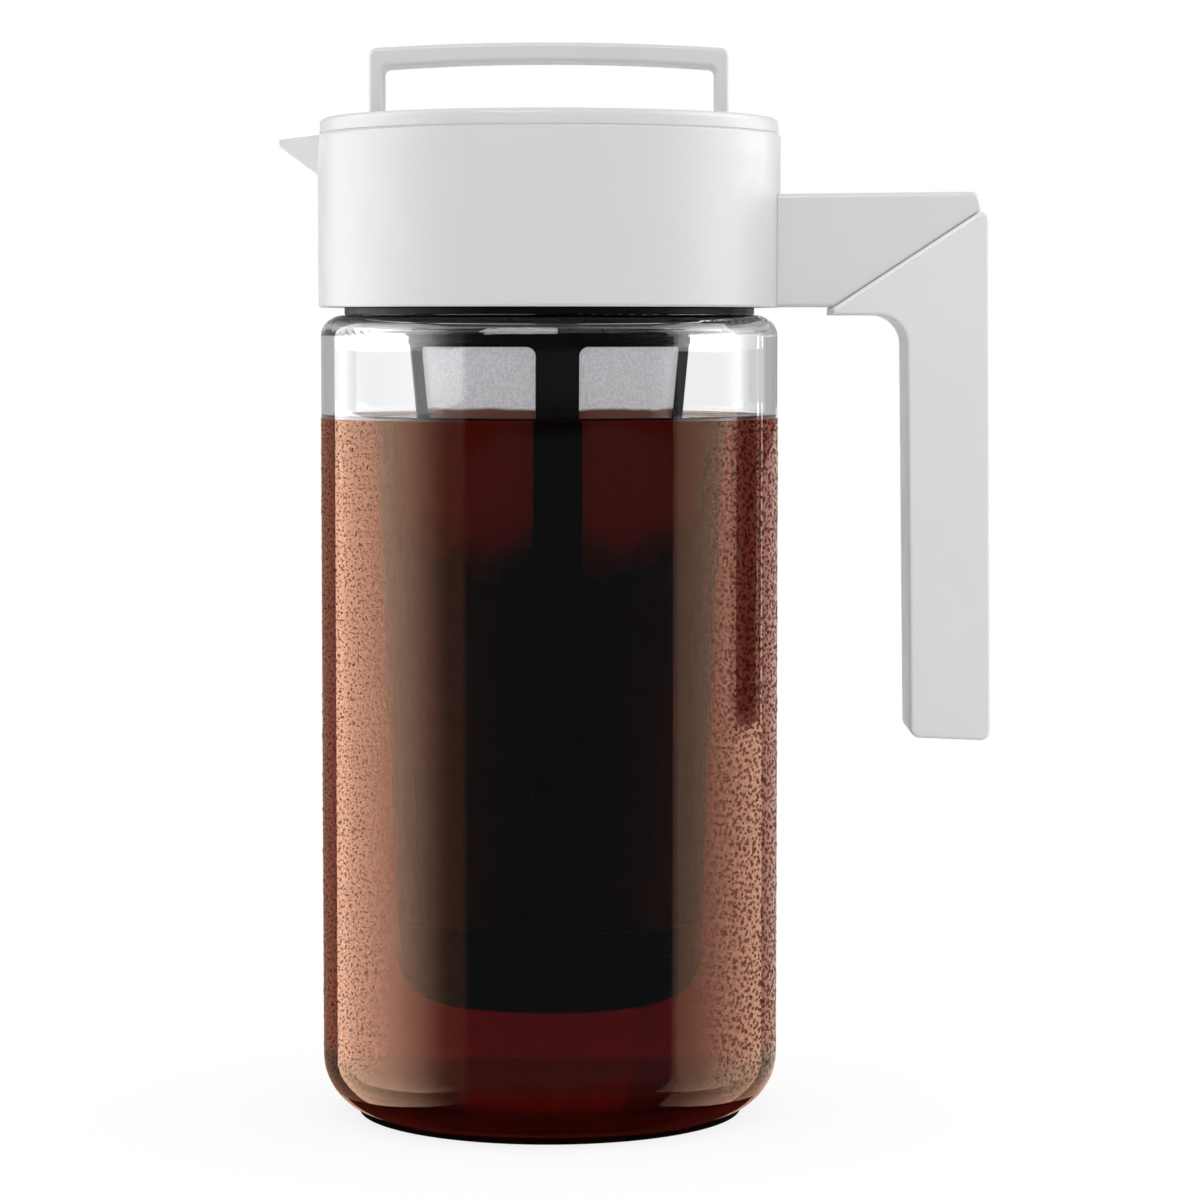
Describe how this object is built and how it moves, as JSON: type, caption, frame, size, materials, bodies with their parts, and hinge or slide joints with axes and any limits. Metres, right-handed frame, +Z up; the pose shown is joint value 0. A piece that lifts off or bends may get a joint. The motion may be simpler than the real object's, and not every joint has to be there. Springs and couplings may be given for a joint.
{
  "type": "cold brew coffee maker",
  "caption": "Straight-sided glass pitcher with a white screw-on spout collar and angular side handle, a bail-topped lid with a pour shutter, and a black mesh infuser.",
  "frame": {"origin": "centre of the carafe's flat base, on the surface it stands on", "axes": "+Z up along the carafe's axis, +X towards the side handle, -X towards the spout"},
  "size_m": [0.1581, 0.103, 0.2386],
  "materials": {
    "clear_glass": "clear polished borosilicate",
    "white_plastic": "satin gloss moulding",
    "arm_plastic": "satin moulding",
    "grip_soft": "fine matt soft touch",
    "black_plastic": "semi-gloss moulding",
    "black_silicone": "smooth silicone",
    "steel_mesh": "fine woven mesh",
    "screw_steel": "plain steel"
  },
  "bodies": {
    "carafe": {"carafe_glass": "clear_glass"},
    "neck_seal": {"neck_gasket": "black_silicone"},
    "collar": {"collar_shell": "white_plastic", "collar_liner": "black_plastic", "spout_channel": "black_plastic", "handle_arm": "arm_plastic", "handle_grip": "grip_soft", "handle_screws": "screw_steel"},
    "plug": {"lid_plug": "black_plastic", "infuser_socket": "black_plastic", "plug_seal_lower": "black_silicone", "plug_seal_upper": "black_silicone", "pivot_washer": "screw_steel", "pivot_screw": "screw_steel"},
    "cap": {"lid_cap": "white_plastic", "lid_handle": "white_plastic", "shutter_sleeve": "black_plastic", "shutter_screws": "screw_steel"},
    "infuser_seal": {"infuser_gasket": "black_silicone"},
    "infuser": {"infuser_frame": "black_plastic", "mesh_sleeve": "steel_mesh", "infuser_base": "black_plastic"}
  },
  "joints": [
    {"name": "collar_rise", "type": "slide", "parent": "carafe", "child": "neck_seal", "axis": [0, 0, 1], "range_m": [0, 0.0201]},
    {"name": "collar_turn", "type": "hinge", "parent": "neck_seal", "child": "collar", "pos_m": [0, 0, 0.19], "axis": [0, 0, 1], "range_deg": [0, 1800]},
    {"name": "lid_lift", "type": "slide", "parent": "collar", "child": "plug", "axis": [0, 0, 1], "range_m": [0, 0.205]},
    {"name": "cap_turn", "type": "hinge", "parent": "plug", "child": "cap", "pos_m": [0, 0, 0.21], "axis": [0, 0, 1], "range_deg": [0, 90]},
    {"name": "infuser_drop", "type": "slide", "parent": "plug", "child": "infuser_seal", "axis": [0, 0, -1], "range_m": [0, 0.0091]},
    {"name": "infuser_turn", "type": "hinge", "parent": "infuser_seal", "child": "infuser", "pos_m": [0, 0, 0.178], "axis": [0, 0, -1], "range_deg": [0, 1080]}
  ],
  "couplings": [
    {"joint": "collar_rise", "follows": "collar_turn", "m_per_rad": 0.00063662},
    {"joint": "infuser_drop", "follows": "infuser_turn", "m_per_rad": 0.00047746}
  ]
}
